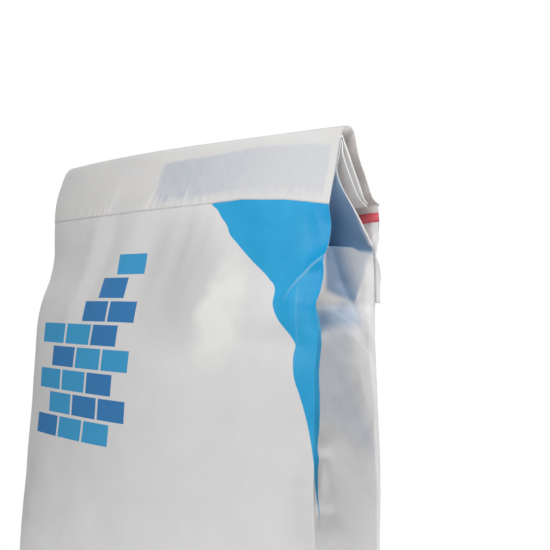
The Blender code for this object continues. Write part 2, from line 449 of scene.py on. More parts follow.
# each soft fold's width and then its line, in millimetres
SLACK_FOLDS = (
    (12, (70, -105, 1), (90, -111, 2.4), (126, -121, 2.8), (153, -129, 2.4), (191, -139, 1.3),
     (230, -146, 0)),
    (12, (70, -74, -1), (90, -80, -2.2), (127, -92, -2.2), (153, -102, -1.6), (191, -112, -0.8),
     (230, -119, 0)),
    (13, (70, -37, 1.1), (90, -45, 2.1), (128, -61, 1.8), (155, -74, 0.8), (190, -87, 0)),
    (12, (75, -4, -0.7), (95, -10, -1.4), (128, -22, -1.3), (155, -32, -0.6), (185, -40, 0)),
    (10, (75, 22, 0.6), (95, 16, 1.2), (130, 5, 1.3), (159, -3, 0.9), (205, -14, 0)),
    (9, (75, 38, -0.4), (95, 34, -0.9), (138, 22, -0.9), (175, 12, 0)),
    (9, (80, 52, 0.4), (100, 46, 0.9), (140, 36, 0.8), (180, 24, 0)),
    (9, (80, 62, -0.4), (108, 55, -0.9), (150, 38, -0.7), (190, 24, 0)),
    (10, (80, 74, 0.5), (110, 64, 1), (150, 47, 1.1), (200, 26, 0)),
)


def front_relief(x, z):
    """How far the front panel stands forward of the plain loft."""
    drop = HEIGHT - z
    out = np.zeros(z.shape)
    for line, left, right, power in FRONT_CREASES:
        out = out + crease(line, z, x, left, right, power)
    belly = soft_step(*BELLY_STARTS, drop) * (1 - BELLY_EASED * soft_step(*BELLY_EASES, drop))
    belly = belly * (1 - soft_step(*BELLY_ENDS, drop))
    out = out + BELLY * belly * soft_step(*BELLY_LEFT, x) * (1 - soft_step(*BELLY_RIGHT, x))
    for width, *rows in SLACK_FOLDS:
        out = out + soft_fold(lines(*rows), z, x, width / 1000)
    return out


print("front panel:", len(FRONT_CREASES) + len(SLACK_FOLDS), "creases and folds")

# %% The corner between the front and the open gusset
# drop, outwards, backwards: how the crumpled corner wanders from a straight fold
CORNER_WANDER = mm(
    (60, 0, 0), (82, 0, 0.5), (100, 2.2, 4.5), (112, 1.8, 5.5), (119, 1.4, 5.2), (127, 0.6, 2.8),
    (133.5, 0, 0.4), (150, 0.4, 1.4), (160, -0.2, 0.8), (174, -2.4, -2.4), (185, -1.2, -1),
    (195, -0.2, 0.6), (209, -0.4, 0.4), (230, -1, -1.4), (253, -0.6, -1), (300, -0.6, -1), (420, 0, 0),
)


def wandered(points, z, share):
    """Moves the right-hand front corner of a wall, by a share of its wander at each height."""
    near = bell(HALF - points[..., 0], 0.016) * share
    for axis in (0, 1):
        points[..., axis] += read(CORNER_WANDER, HEIGHT - z, axis + 1) * near


# drop, how deep the right-hand gusset is tucked in above the shoulder
TUCK = mm(
    (40, 52), (60, 56), (82, 54), (100, 46), (110, 38), (119.9, 29), (120.7, 8),
)
# share of the way back along the side, how far the ledge under the open gusset rises there
LEDGE_RISE = np.array((
    (0.0, 0.0), (0.20, 0.0018), (0.40, 0.0032), (0.52, 0.0036), (0.60, 0.0024), (0.70, 0.0004), (1.0, 0.0),
))
# the dent in the right-hand side: its drops, y of its edge at the front corner, and y of its valley and of
# its edge behind, each at the top with how far it moves by the end
DENT_TOP, DENT_END = 0.1210, 0.171
DENT_CORNER = -0.056
DENT_VALLEY, DENT_BACK = (-0.034, 0.0385), (0.058, -0.0475)
DENT_DEPTH = ((0, 0.6, 1), (0.0034, 0.0050, 0.0032))        # shares of the way down, and how deep it is there
POWDER_DROP, POWDER_LEAN = 0.1582, 0.200    # the line below which powder fills the side out again
FILLS_OUT, SHADE_ENDS = (0.016, 0.024), (0.003, 0.005)      # from how far above that line to how far below it
DENT_RIM = (-0.10, 0.22)        # where its shade starts and where it is full, as shares of a facet's width


def dent_share(drop):
    """How far down the dent a drop is, from 0 to 1."""
    return np.clip((drop - DENT_TOP) / (DENT_END - DENT_TOP), 0, 1)


def dent_valley(drop):
    """y of the dent's valley, which runs from the front corner at its top to the middle of the side."""
    return DENT_VALLEY[0] + DENT_VALLEY[1] * dent_share(drop)


def dent(y, z):
    """The dent in the right-hand side below the shoulder, two facets that meet in a valley: depth, shade."""
    drop = HEIGHT - z
    share = dent_share(drop)
    valley, back = dent_valley(drop), DENT_BACK[0] + DENT_BACK[1] * share
    shape = np.where(y < valley, (y - DENT_CORNER) / (valley - DENT_CORNER), (back - y) / (back - valley))
    powder = POWDER_DROP + POWDER_LEAN * (y - DENT_CORNER)
    hollow, shaded = (
        1 - soft_step(powder - above, powder + below, drop) for above, below in (FILLS_OUT, SHADE_ENDS)
    )
    inside = drop >= DENT_TOP
    depth = np.interp(share, *DENT_DEPTH) * np.clip(shape, 0, 1) * hollow * inside
    return depth, shaded * inside * soft_step(*DENT_RIM, shape)


SIDE_RIDGE = lines(
    (160, 14, 0), (180, 11, 2), (197, 6, 4.8), (211, -2, 7.4), (229, -4.5, 8.6), (243, -4, 8.2),
    (258, 3.5, 7.2), (277, 19, 5.2), (292, 34, 3), (306, 45, 1),
)


# the bottom's triangular folds: height in the middle, slope, how far they reach, and depth
BOTTOM_PEAK, BOTTOM_SLOPE, BOTTOM_REACH, BOTTOM_DEPTH = 0.068, 0.95, 0.024, 0.0035
# a smaller dent below the large one: y and drop of its middle, how far it reaches both ways, and depth
SMALL_PLACE, SMALL_REACH, SMALL_DEPTH = (-0.060, 0.191), (0.013, 0.012), 0.0022


def bottom_fold(y, z):
    """The gusset's triangular fold where the block bottom is turned in."""
    from_fold = z - (BOTTOM_PEAK - BOTTOM_SLOPE * np.abs(y))
    shape = np.clip(1 - np.abs(from_fold) / BOTTOM_REACH, 0, 1) ** 1.4
    return -BOTTOM_DEPTH * shape * soft_step(0.002, 0.020, z)


def side_relief(y, z):
    """How far the right-hand side stands out of the plain loft below the shoulder."""
    drop = HEIGHT - z
    out = crease(SIDE_RIDGE, z, y, 0.060, 0.050, 1.15)
    small = bell(y - SMALL_PLACE[0], SMALL_REACH[0]), bell(drop - SMALL_PLACE[1], SMALL_REACH[1])
    return out - SMALL_DEPTH * small[0] * small[1] + bottom_fold(y, z)


print("corner wanders by up to", round(1000 * float(np.abs(CORNER_WANDER[:, 1:]).max()), 1), "mm")


# %% [markdown]
# ## The fine mesh
# The ring is closed: front panel, right-hand gusset, back panel, left-hand gusset. Columns lie closer
# together at the crumpled corner and rows closer together at the shoulder, where creases are sharp. Each fold
# edge of the gusset gets a narrow lip, because several plies lie on each other there; the lip catches the
# light, and its pale line is also painted, as a painted highlight.

# %% Columns and rows
def spread(count, weight):
    """Positions from 0 to 1 that lie closer together where weight is higher."""
    fine = np.linspace(0, 1, 2001)
    total = np.concatenate(([0], np.cumsum(weight((fine[1:] + fine[:-1]) / 2))))
    return np.interp(np.linspace(0, total[-1], count), total, fine)


WALL_U = spread(171, lambda u: 1 + 1.6 * soft_step(0.84, 0.92, u))
BACK_U = spread(111, lambda u: 1 + 0.5 * soft_step(0.90, 0.97, u))
SIDE_V = spread(57, lambda v: 1 + 1.8 * soft_step(0.10, 0.0, v) + 1.8 * soft_step(0.90, 1.0, v))[1:-1]
LEFT_V = spread(31, lambda v: 1 + 0 * v)[1:-1]


def row_positions(spacing):
    """Fractional station numbers, spaced along the right-hand front section by a rule in metres."""
    fine = np.linspace(0, len(STATIONS) - 1, 6001)
    section = through(STATIONS, fine)[:, 2:4]
    steps = np.hypot(*np.diff(section, axis=0).T)
    total = np.concatenate(([0], np.cumsum(steps / spacing((fine[1:] + fine[:-1]) / 2))))
    return np.interp(np.linspace(0, total[-1], int(total[-1]) + 1), total, fine)


LEDGE = len(BODY) - 0.13    # where the gusset opens over the powder's edge


def fine_spacing(row):
    """Rows lie closer together at the shoulder, and closest at the ledge under the open gusset."""
    plain = np.where(row < 7.5, 0.0042, np.where(row < 12.5, 0.0022, 0.0028))
    return np.where(np.abs(row - LEDGE) < 0.05, 0.0004, plain)


ROWS = row_positions(fine_spacing)
print(len(ROWS), "rows of", len(WALL_U) + len(SIDE_V) + len(BACK_U) + len(LEFT_V), "columns")


# %% The walls and sides of the tube
def wall(rows, u, back=False):
    """Points on the front or back wall, before any relief."""
    at = through(STATIONS, rows[:, None])
    points = across(at[..., 4:8] if back else at[..., :4], u)
    bulge, inset = np.clip(at[..., 8], 0, None), np.clip(at[..., 9], 0, None)
    points[..., 0] *= 1 - inset / HALF
    points[..., 1] += (1 if back else -1) * bulge * np.sin(np.pi * u)
    return points


# the left-hand fold edge has a waist: how deep, at which drop, how tall and how wide
WAIST, WAIST_DROP, WAIST_TALL, WAIST_WIDE = 0.0052, 0.188, 0.038, 0.05


def front_wall(rows, u):
    """The front wall with its creases and its crumpled corner."""
    points = wall(rows, u)
    x, z = points[..., 0].copy(), points[..., 2].copy()
    below_fold = (1 - soft_step(FLAP_START, FLAP_START + 1, rows))[:, None]
    points[..., 1] -= front_relief(x, z) * below_fold
    wandered(points, z, below_fold)
    waist = WAIST * bell(HEIGHT - z - WAIST_DROP, WAIST_TALL)
    points[..., 0] -= waist * bell(x + HALF, WAIST_WIDE) * below_fold
    return points


def between(start, end, v):
    """Straight rows of points from one edge of a side to the other, and how wide the side is there."""
    points = start[:, None] * (1 - v[:, None]) + end[:, None] * v[:, None]
    return points, np.linalg.norm((end - start)[:, 1:], axis=1)[:, None]


def powder_swell(z, v):
    """How far powder pushes a side outwards."""
    return SWELL * np.sin(np.pi * np.clip(z / SIDE_TOP, 0, 1)) * np.sin(np.pi * v)


# The lips are wider or narrower at the mouth: width in the gusset, and what the mouth adds
FRONT_LIP, BACK_LIP = (0.0004, 0.0026), (0.0042, -0.0020)
MOUTH_TUCK = 0.016      # how deep the right-hand gusset is tucked in at the mouth
LEFT_TUCK = 0.020       # the deepest tuck of the left-hand gusset


def right_side(rows, start, end, v):
    """The right-hand gusset between the front corner and the back corner."""
    points, gap = between(start, end, v)
    y, z = points[..., 1], points[..., 2]
    from_front, from_back = v * gap, (1 - v) * gap
    flap = soft_step(FLAP_START, FLAP_START + 2, rows)[:, None]
    front_lip = np.minimum(FRONT_LIP[0] + FRONT_LIP[1] * flap, gap * 0.3)
    back_lip = np.minimum(BACK_LIP[0] + BACK_LIP[1] * flap, gap * 0.25)
    reach = np.maximum(gap / 2 - np.maximum(front_lip, back_lip), 1e-5)
    fold = np.clip(np.minimum(from_front - front_lip, from_back - back_lip) / reach, 0, 1)
    drop = (HEIGHT - start[:, 2])[:, None]
    tuck = read(TUCK, drop) * (1 - flap) + MOUTH_TUCK * flap
    fade = np.clip(np.minimum(from_front, from_back) / 0.012, 0, 1)
    low = powder_swell(z, v) + side_relief(y, z) * fade - dent(y, z)[0]
    points[..., 0] += np.where(rows[:, None] < LEDGE, low, -tuck * fold)
    points[..., 2] += read(LEDGE_RISE, v) * bell(drop - DENT_TOP, 0.010)
    return points


# Folds that fan out from the left-hand pinch
LEFT_FOLDS = (
    lines((100, 5, 0), (130, -1, 2), (165, -12, 2.6), (210, -26, 1.4), (255, -34, 0)),
    lines((108, 10, 0), (140, 15, 1.8), (180, 26, 2.4), (225, 38, 1), (260, 44, 0)),
)


def left_side(rows, start, end, v):
    """The left-hand gusset, which is narrow and stays nearly shut."""
    points, gap = between(start, end, v)
    y, z = points[..., 1], points[..., 2]
    fold = 1 - np.abs(2 * v - 1)
    tucked = (soft_step(6.5, 11.0, rows) * (1 - soft_step(PINCH, PINCH + 2, rows)))[:, None]
    points[..., 0] += LEFT_TUCK * tucked * fold - powder_swell(z, v)
    out = bottom_fold(y, z)
    for line in LEFT_FOLDS:
        out = out + crease(line, z, y, 0.022, 0.016, 1.2) * fold
    old_fold = bell((v - 0.5) * gap, 0.0045) * soft_step(0.10, 0.16, z)
    points[..., 0] -= out - 0.0009 * old_fold * (1 - tucked)
    return points


# %% The whole ring
def ring_points(rows, wall_u, side_v, back_u, left_v):
    """The closed ring at every row: front, right-hand gusset, back and left-hand gusset."""
    front, back = front_wall(rows, wall_u), wall(rows, back_u, back=True)
    right = right_side(rows, front[:, -1], back[:, -1], side_v)
    left = left_side(rows, back[:, 0], front[:, 0], left_v)
    return np.concatenate((front, right, back[:, ::-1], left), axis=1)


def ring_place(wall_u, side_v, back_u, left_v):
    """Where each column lies round the ring, which is 4 long, one for each wall."""
    return np.concatenate((wall_u, 1 + side_v, 3 - back_u[::-1], 3 + left_v))


FRONT_END = len(WALL_U)
RIGHT_END = FRONT_END + len(SIDE_V)
BACK_END = RIGHT_END + len(BACK_U)
PLACE = ring_place(WALL_U, SIDE_V, BACK_U, LEFT_V)
tube = ring_points(ROWS, WALL_U, SIDE_V, BACK_U, LEFT_V)
print("ring of", len(PLACE), "columns")


# %% Flat coordinates for print
BACK_MIDDLE, LEFT_START = 0.8, 1.1      # where the back's middle and the left side start on the flat sheet


def path_lengths(points):
    """How far each row of points lies from the first one, along its own column."""
    steps = np.linalg.norm(np.diff(points, axis=0), axis=-1)
    return np.concatenate((np.zeros((1, steps.shape[1])), np.cumsum(steps, axis=0)))


def sheet_places(points):
    """How far across and along the flat paper each point lies, for print that follows the folds."""
    front, back = points[:, :FRONT_END], points[:, RIGHT_END:BACK_END]
    rise = path_lengths(front[:, -1:])
    depth = np.linalg.norm(back[:, 0] - front[:, -1], axis=1)[:, None]
    thin = np.linalg.norm(back[:, -1] - front[:, 0], axis=1)[:, None]
    over = np.concatenate((
        (2 * WALL_U - 1) * HALF + 0 * rise, HALF + SIDE_V * np.maximum(depth, 0.02),
        BACK_MIDDLE - (2 * BACK_U[::-1] - 1) * HALF + 0 * rise, LEFT_START + LEFT_V * thin,
    ), axis=1)
    beyond = HEIGHT + rise - rise[np.searchsorted(ROWS, PINCH + 2)]
    high = np.concatenate((wall(ROWS, WALL_U)[..., 2], points[:, FRONT_END:, 2]), axis=1)
    high = np.where(ROWS[:, None] < FLAP_START, high, beyond)
    return np.stack((over, high), axis=-1)


sheet_place = sheet_places(tube)
print("flat coordinates for", sheet_place[..., 0].size, "points")


# %% Close the ring as a mesh
def new_mesh(name, vertices, faces, flat):
    """A smooth mesh with its flat coordinates as a UV map."""
    mesh = bpy.data.meshes.new(name)
    mesh.from_pydata(vertices.tolist(), [], faces)
    corner_vertex = np.zeros(len(mesh.loops), dtype=int)
    mesh.loops.foreach_get("vertex_index", corner_vertex)
    uv = mesh.uv_layers.new(name="sheet")
    uv.data.foreach_set("uv", flat[corner_vertex].astype(np.float32).ravel())
    mesh.shade_smooth()
    return mesh


def ring_mesh(name, points, flat):
    """A closed mesh from rings of points."""
    rows, columns = points.shape[:2]
    index = np.arange(rows * columns).reshape(rows, columns)
    after = np.roll(index, -1, axis=1)
    quads = np.stack((index[:-1], after[:-1], after[1:], index[1:]), axis=-1).reshape(-1, 4).tolist()
    base, end = rows * columns, rows * columns + 1      # the middles of the two end faces
    quads += [(int(after[0, c]), int(index[0, c]), base) for c in range(columns)]
    quads += [(int(index[-1, c]), int(after[-1, c]), end) for c in range(columns)]
    vertices = np.concatenate((points.reshape(-1, 3), [points[0].mean(axis=0), points[-1].mean(axis=0)]))
    mesh = new_mesh(name, vertices, quads, np.concatenate((flat.reshape(-1, 2), [[0, -0.2], [0.8, 0.7]])))
    mesh.set_sharp_from_angle(angle=math.radians(34))
    return mesh


def grid_mesh(name, points, flat):
    """An open sheet from a grid of points."""
    rows, columns = points.shape[:2]
    index = np.arange(rows * columns).reshape(rows, columns)
    quads = np.stack((index[:-1, :-1], index[:-1, 1:], index[1:, 1:], index[1:, :-1]), axis=-1)
    return new_mesh(name, points.reshape(-1, 3), quads.reshape(-1, 4).tolist(), flat.reshape(-1, 2))


def stored_number(mesh, name, values):
    """A number at every point of a mesh."""
    note = mesh.attributes.new(name, "FLOAT", "POINT")
    note.data.foreach_set("value", np.asarray(values, dtype=np.float32))


# %% [markdown]
# ## Letting the powder push
# A loft alone looks pressed from plastic. Real paper is slightly too long for the powder's shape and buckles.
# The cloth simulation gives that: a coarse cage of the same ring, a little longer than its own outline, is
# pushed out by pressure while its top, its base and its fold edges are held. Only its moves are kept. They
# are capped, eased off where the folds are already modelled, and read smoothly at the fine mesh's points.

# %% A coarse cage and what holds it
CAGE_TOP = len(BODY) + 1.0      # the cage ends a little above the shoulder
cage_rows = row_positions(lambda row: 0.0085 + 0 * row)
cage_rows = cage_rows[cage_rows < CAGE_TOP]
cage_wall = np.linspace(0, 1, 46)
cage_columns = (cage_wall, np.linspace(0, 1, 17)[1:-1], cage_wall, np.linspace(0, 1, 13)[1:-1])
cage = ring_points(cage_rows, *cage_columns)
cage_place = ring_place(*cage_columns)
to_edge = np.abs(cage_place - np.round(cage_place))[None, :]
held = np.maximum(soft_step(0.365, 0.405, cage[..., 2]), 1 - soft_step(0.002, 0.020, cage[..., 2]))
held = np.maximum(held, 0.25 * (1 - soft_step(0.0, 0.06, to_edge)))
print("cage of", cage.shape[0], "rows and", cage.shape[1], "columns")


# %% Run the cloth
FRAMES = 20
CLOTH = {
    "quality": 6, "mass": 0.2, "tension_stiffness": 60, "compression_stiffness": 60, "shear_stiffness": 30,
    "bending_stiffness": 6, "use_pressure": True, "uniform_pressure_force": 4, "shrink_min": -0.014,
    "vertex_group_mass": "held",
}


def pushed_out(points, pins):
    """The moves of a ring of points when pressure fills it out."""
    rows, columns = points.shape[:2]
    shell = new_object("cage", ring_mesh("cage", points, np.zeros((rows, columns, 2))))
    group = shell.vertex_groups.new(name="held")
    for index, weight in enumerate([*pins.ravel(), 1.0, 1.0]):
        group.add([index], float(weight), "REPLACE")
    paper = shell.modifiers.new("paper", "CLOTH")
    for name, value in CLOTH.items():
        setattr(paper.settings, name, value)
    paper.settings.effector_weights.gravity = 0
    paper.collision_settings.use_collision = False
    for number in range(1, FRAMES + 1):
        scene.frame_set(number)
    evaluated = shell.evaluated_get(bpy.context.evaluated_depsgraph_get())
    after = np.zeros(3 * len(evaluated.data.vertices))
    evaluated.data.vertices.foreach_get("co", after)
    scene.frame_set(1)
    bpy.data.objects.remove(shell)
    return after.reshape(-1, 3)[:rows * columns].reshape(rows, columns, 3) - points


def capped(moves, most):
    """Moves eased so that none is longer than most."""
    length = np.linalg.norm(moves, axis=-1, keepdims=True)
    return moves * np.tanh(length / most) * most / np.maximum(length, 1e-9)


def at_fine_points(moves):
    """A cage's moves, read smoothly at the fine ring's rows and columns."""
    around = np.concatenate((moves, moves[:, :1]), axis=1)
    row_at = np.interp(ROWS, cage_rows, np.arange(len(cage_rows)))
    column_at = np.interp(PLACE, [*cage_place, 4.0], np.arange(around.shape[1]))
    tall = through(around.reshape(len(around), -1), row_at).reshape(len(ROWS), -1, 3)
    wide = through(tall.transpose(1, 0, 2).reshape(around.shape[1], -1), column_at)
    return wide.reshape(len(PLACE), len(ROWS), 3).transpose(1, 0, 2)


def outline_hold(place, z):
    """Less at the two fold edges that draw the sack's outline in its upper half."""
    right, left = bell(place - 2, 0.16), bell(np.minimum(place, 4 - place), 0.10)
    return 1 - 0.85 * np.maximum(right, left) * soft_step(0.12, 0.22, z)


def calmed(z, front, side):
    """1, or less in the upper half of the front panel and of the open side: how much less, low, high."""
    out = np.ones(z.shape)
    for there, (less, low, high) in ((PLACE <= 1, front), ((PLACE > 1) & (PLACE < 2), side)):
        out = np.where(there, 1 - less * soft_step(low, high, z), out)
    return out


def ease(points):
    """How much of the moves each point takes: little where the panel's folds are already modelled."""
    z = points[..., 2]
    share = soft_step(0.400, 0.350, z) * soft_step(0.001, 0.014, z)
    return share * calmed(z, (0.75, 0.16, 0.24), (0.7, 0.20, 0.30)) * outline_hold(PLACE, z)


MOST = 0.0060       # the longest move that is kept
moves = np.zeros(tube.shape)
cage_moves = pushed_out(cage, held)
print("largest push", round(1000 * float(np.linalg.norm(cage_moves, axis=-1).max()), 1), "mm")
moves = at_fine_points(capped(cage_moves, MOST)) * ease(tube)[..., None]
print("largest move kept", round(1000 * float(np.linalg.norm(moves, axis=-1).max()), 1), "mm")

# %% [markdown]
# ## Creased paper
# Handling leaves paper with small flat facets that meet in fine creases. Random heights on a triangular
# lattice, joined by flat triangles, look just like that, and a fixed seed gives the same sack each time.

# %% Facets
LATTICE = np.random.default_rng(7).uniform(-1, 1, (64, 64))
FACETS = ((0.0011, 0.046, 0, 0), (0.0004, 0.019, 0.31, 0.17))   # height, cell, and how far they are moved


def facets(across_paper, along_paper, cell):
    """Heights from -1 to 1 on a triangular lattice, joined by flat facets."""
    x = across_paper / cell + 0.35 * np.sin(along_paper / cell * 1.7)
    y = along_paper / cell + 0.35 * np.sin(across_paper / cell * 1.3)
    skew = (x + y) * (math.sqrt(3) - 1) / 2
    a, b = x + skew, y + skew
    i, j = np.floor(a).astype(int), np.floor(b).astype(int)
    big, small = np.maximum(a - i, b - j), np.minimum(a - i, b - j)
    near, far = LATTICE[i % 64, j % 64], LATTICE[(i + 1) % 64, (j + 1) % 64]
    beside_it = np.where(a - i > b - j, LATTICE[(i + 1) % 64, j % 64], LATTICE[i % 64, (j + 1) % 64])
    return near * (1 - big) + beside_it * (big - small) + far * small


def creased(points):
    """The facets' moves, away from each wall, smallest on the front panel's upper half."""
    z = points[..., 2]
    girth = np.interp(PLACE, (0, 1, 2, 3, 4), (0, 0.40, 0.53, 0.93, 1.03))
    height = sum(tall * facets(girth + over, z + up, cell) for tall, cell, over, up in FACETS)
    height = height * calmed(z, (0.65, 0.15, 0.24), (0.5, 0.22, 0.32))
    height = height * soft_step(0.410, 0.370, z) * soft_step(0.0, 0.012, z)
    by_edge = 0.35 + 0.65 * soft_step(0.0, 0.05, np.abs(PLACE - np.round(PLACE)))
    height = height * outline_hold(PLACE, z) * by_edge
    ways = np.array(((0, -1, 0), (1, 0, 0), (0, 1, 0), (-1, 0, 0)))
    return ways[np.minimum(PLACE, 3.999).astype(int)] * height[..., None]


creases = creased(tube)
shaped = tube + moves + creases
print("facets up to", round(1000 * float(np.abs(creases).max()), 2), "mm")

# %% The sack's mesh
sack_mesh = ring_mesh("paper_sack", shaped, sheet_place)
sack = new_object("paper_sack", sack_mesh)
print("sack:", len(sack_mesh.polygons), "faces, largest", np.round(shaped.max(axis=(0, 1)), 4))

# %% [markdown]
# ## The closure band
# A strip of white paper caps the fold. Its front leg is glued to the front panel and ends in a slightly bowed
# cut edge, and its back leg hangs behind the folded mouth and is glued to the back panel. It is made like the
# sack, from two end sections, with the front leg laid on the sack's own front so that it follows every fold.

# %% The band's sections
RIGHT_BAND = mm(
    (-16.5, 6), (-9, 1.5), (1, 0.8), (8, 4.5), (12, 12), (17, 23), (24, 33), (32, 41), (39, 49), (47, 60),
    (58, 67), (64.5, 71.5), (65.5, 80), (65.5, 90), (63, 104), (60, 118), (60, 124),
)
LEFT_BAND = mm(
    (-4.5, 8), (-2, 2.5), (2, 0.8), (6, 3), (9, 9), (12, 18), (14, 28), (16, 38), (17, 48), (18, 58),
    (19, 67), (19.8, 74.5), (20.2, 80), (20.6, 90), (20.6, 104), (20, 118), (20.5, 124),
)
BAND_THICKNESS = 0.0008
BAND_GAP = 0.0004
LEG_ROWS = 5
# x and drop of the front leg's cut edge
LOWER_EDGE = mm(
    (-200, 75.5), (-100, 74), (-30, 72.5), (50, 71.5), (100, 69.5), (150, 73.5), (200, 80.8),
)


# station, outwards, backwards: how the back leg's cut end wanders at the right, with a dog-ear above the tape
RAGGED_END = np.array((
    (13.0, 0.0000, 0.0000), (14.0, 0.0006, 0.0004), (14.6, 0.0000, 0.0000), (15.1, 0.0010, 0.0006),
    (15.80, 0.0026, 0.0024), (16.15, 0.0002, 0.0004), (16.5, 0.0014, 0.0002), (17.0, 0.0022, 0.0000),
    (18.4, 0.0020, 0.0000), (20.0, 0.0014, 0.0000), (21.0, 0.0006, 0.0000),
))


def band_stations():
    """One row per station of the band's inner face: (y, height) at its left and its right end."""
    ends = []
    for sack_rows, rest in ((LEFT_SACK, LEFT_BAND), (RIGHT_SACK, RIGHT_BAND)):
        leg = sack_rows[2:2 + LEG_ROWS, :2]
        way = np.gradient(leg, axis=0)
        way /= np.linalg.norm(way, axis=1)[:, None]
        leg = leg + BAND_GAP * np.column_stack((way[:, 1], -way[:, 0]))
        both = np.concatenate((leg, rest))
        both[:, 1] = HEIGHT - both[:, 1]
        ends.append(both)
    return np.concatenate(ends, axis=1)


BAND = band_stations()
print(len(BAND), "stations round the band")

# %% The band's surface
GLUE_WRINKLES = (   # x and drop at the lower end, length, lean and height, in millimetres
    (-165, 73, 10, 2, 0.5), (-148, 72.5, 12, 3, 0.6), (-130, 71.5, 12, 3, 0.8), (-119, 72.5, 14, 4, 0.9),
    (-111, 72, 12, 3, 0.9), (-101, 70.5, 10, 3, 0.9), (-94, 70, 34, 11, 1.1), (-86, 60, 22, 6, 0.7),
    (-66, 71, 8, 2, 0.5), (-48, 71, 9, 2, 0.6), (-36, 71, 12, 4, 0.8), (-31, 69, 26, 10, 1.1),
    (-22, 69, 20, 7, 0.9), (-13, 68, 14, 4, 0.7), (-3, 69, 10, 3, 0.8), (4, 68.5, 11, 3, 0.7),
    (15, 69, 8, 2, 0.5), (24, 69, 21, 1, 1), (38, 68.5, 9, 2, 0.7), (50, 68, 9, 2, 0.7),
    (59, 67.5, 10, 3, 0.6), (74, 67, 8, 2, 0.5), (90, 66.5, 9, 3, 0.5), (113, 67, 7, 2, 0.4),
    (148, 70, 9, 3, 0.5), (171, 73, 8, 2, 0.4),
)
BAND_ROWS, BAND_SHARES = (0, 33, 58, 109), (0, 0.22, 0.42, 1)   # rows, and how far round the band they lie
PRESSED, PRESSED_OVER = 0.00034, 0.004      # how far the glued cut edge is pressed in, and over which drop


def band_relief(x, z):
    """How far the band's front leg stands off the sack, and where its wrinkles get a painted highlight on one
    flank.
    """
    drop = HEIGHT - z
    out = 0.0006 * np.sin(x * 41 + 1.2) * np.sin(drop * 60 + 0.5) * soft_step(0.075, 0.045, drop)
    highlight_marks = np.zeros(x.shape)
    for left, low, length, lean, height in GLUE_WRINKLES:
        # Highest at the glue, running out up the band
        line = lines((low, left, height), (low - length / 2, left + lean / 2, height * 0.9),
                     (low - length, left + lean, 0))
        out = out + crease(line, z, x, 0.0034, 0.0026, 1.3)
        # Painted highlight along one flank of the wrinkle
        highlight_marks = np.maximum(highlight_marks, crease(line, z, x + 0.0006, 0.0016, 0.0022, 1.0) / 0.0011)
    return out, highlight_marks


def band_points():
    """The grid of the band's inner face from the cut edge in front to the glued edge behind."""
    u = spread(221, lambda share: 1 + 0.6 * soft_step(0.93, 0.98, share) + 0.4 * soft_step(0.05, 0.01, share))
    probe = np.linspace(0, 2.5, 251)
    drops = HEIGHT - across(through(BAND, probe[:, None]), u)[..., 2]
    wanted = read(LOWER_EDGE, HALF * (2 * u - 1))
    start = np.array([np.interp(-wanted[c], -drops[:, c], probe) for c in range(len(u))])
    share = np.interp(np.arange(BAND_ROWS[-1] + 1), BAND_ROWS, BAND_SHARES)
    rows = start + (len(BAND) - 1 - start) * share[:, None]
    points = across(through(BAND, rows), u)
    x, z = points[..., 0].copy(), points[..., 2].copy()
    leg = 1 - soft_step(3.6, 5.2, rows)
    loose, highlight_marks = band_relief(x, z)
    pressed = PRESSED * (1 - soft_step(0.0, PRESSED_OVER, wanted - (HEIGHT - z)))
    points[..., 1] -= (front_relief(x, z) + loose - pressed) * leg
    wandered(points, z, leg)
    for axis in (0, 1):
        points[..., axis] += read(RAGGED_END, rows, axis + 1) * soft_step(0.965, 1.0, u)
    return points, u, highlight_marks * leg, leg


def thickened(piece, thickness, offset):
    """Gives a thin sheet its thickness."""
    made = piece.modifiers.new("thickness", "SOLIDIFY")
    made.thickness, made.offset = thickness, offset
    return made


band_grid, band_u, wrinkle_highlights, front_leg = band_points()
rise = path_lengths(band_grid)
band_flat = np.stack((np.broadcast_to((2 * band_u - 1) * HALF, rise.shape), rise), axis=-1)
band_mesh = grid_mesh("paper_band", band_grid, band_flat)
band = new_object("paper_band", band_mesh)
band_wall = thickened(band, BAND_THICKNESS, 1)
# The front leg is glued down flat, so its cut edge is the thinnest place
stout = band.vertex_groups.new(name="stout")
for index, weight in enumerate((1 - 0.86 * front_leg).ravel()):
    stout.add([index], float(weight), "REPLACE")
band_wall.vertex_group = "stout"
stored_number(band_mesh, "wrinkle_highlight", wrinkle_highlights.ravel())
print("band:", len(band_mesh.polygons), "faces")

# %% [markdown]
# ## The tear tape
# A red tape lies on the inside of the band's back leg, so that pulling it rips the band open. At the
# right-hand end it is folded down behind itself, and its free end hangs there with the white reverse side in
# front. A ribbon follows a path, which is what Geometry Nodes are good at: the path is a curve, and a short
# straight profile is carried along it.

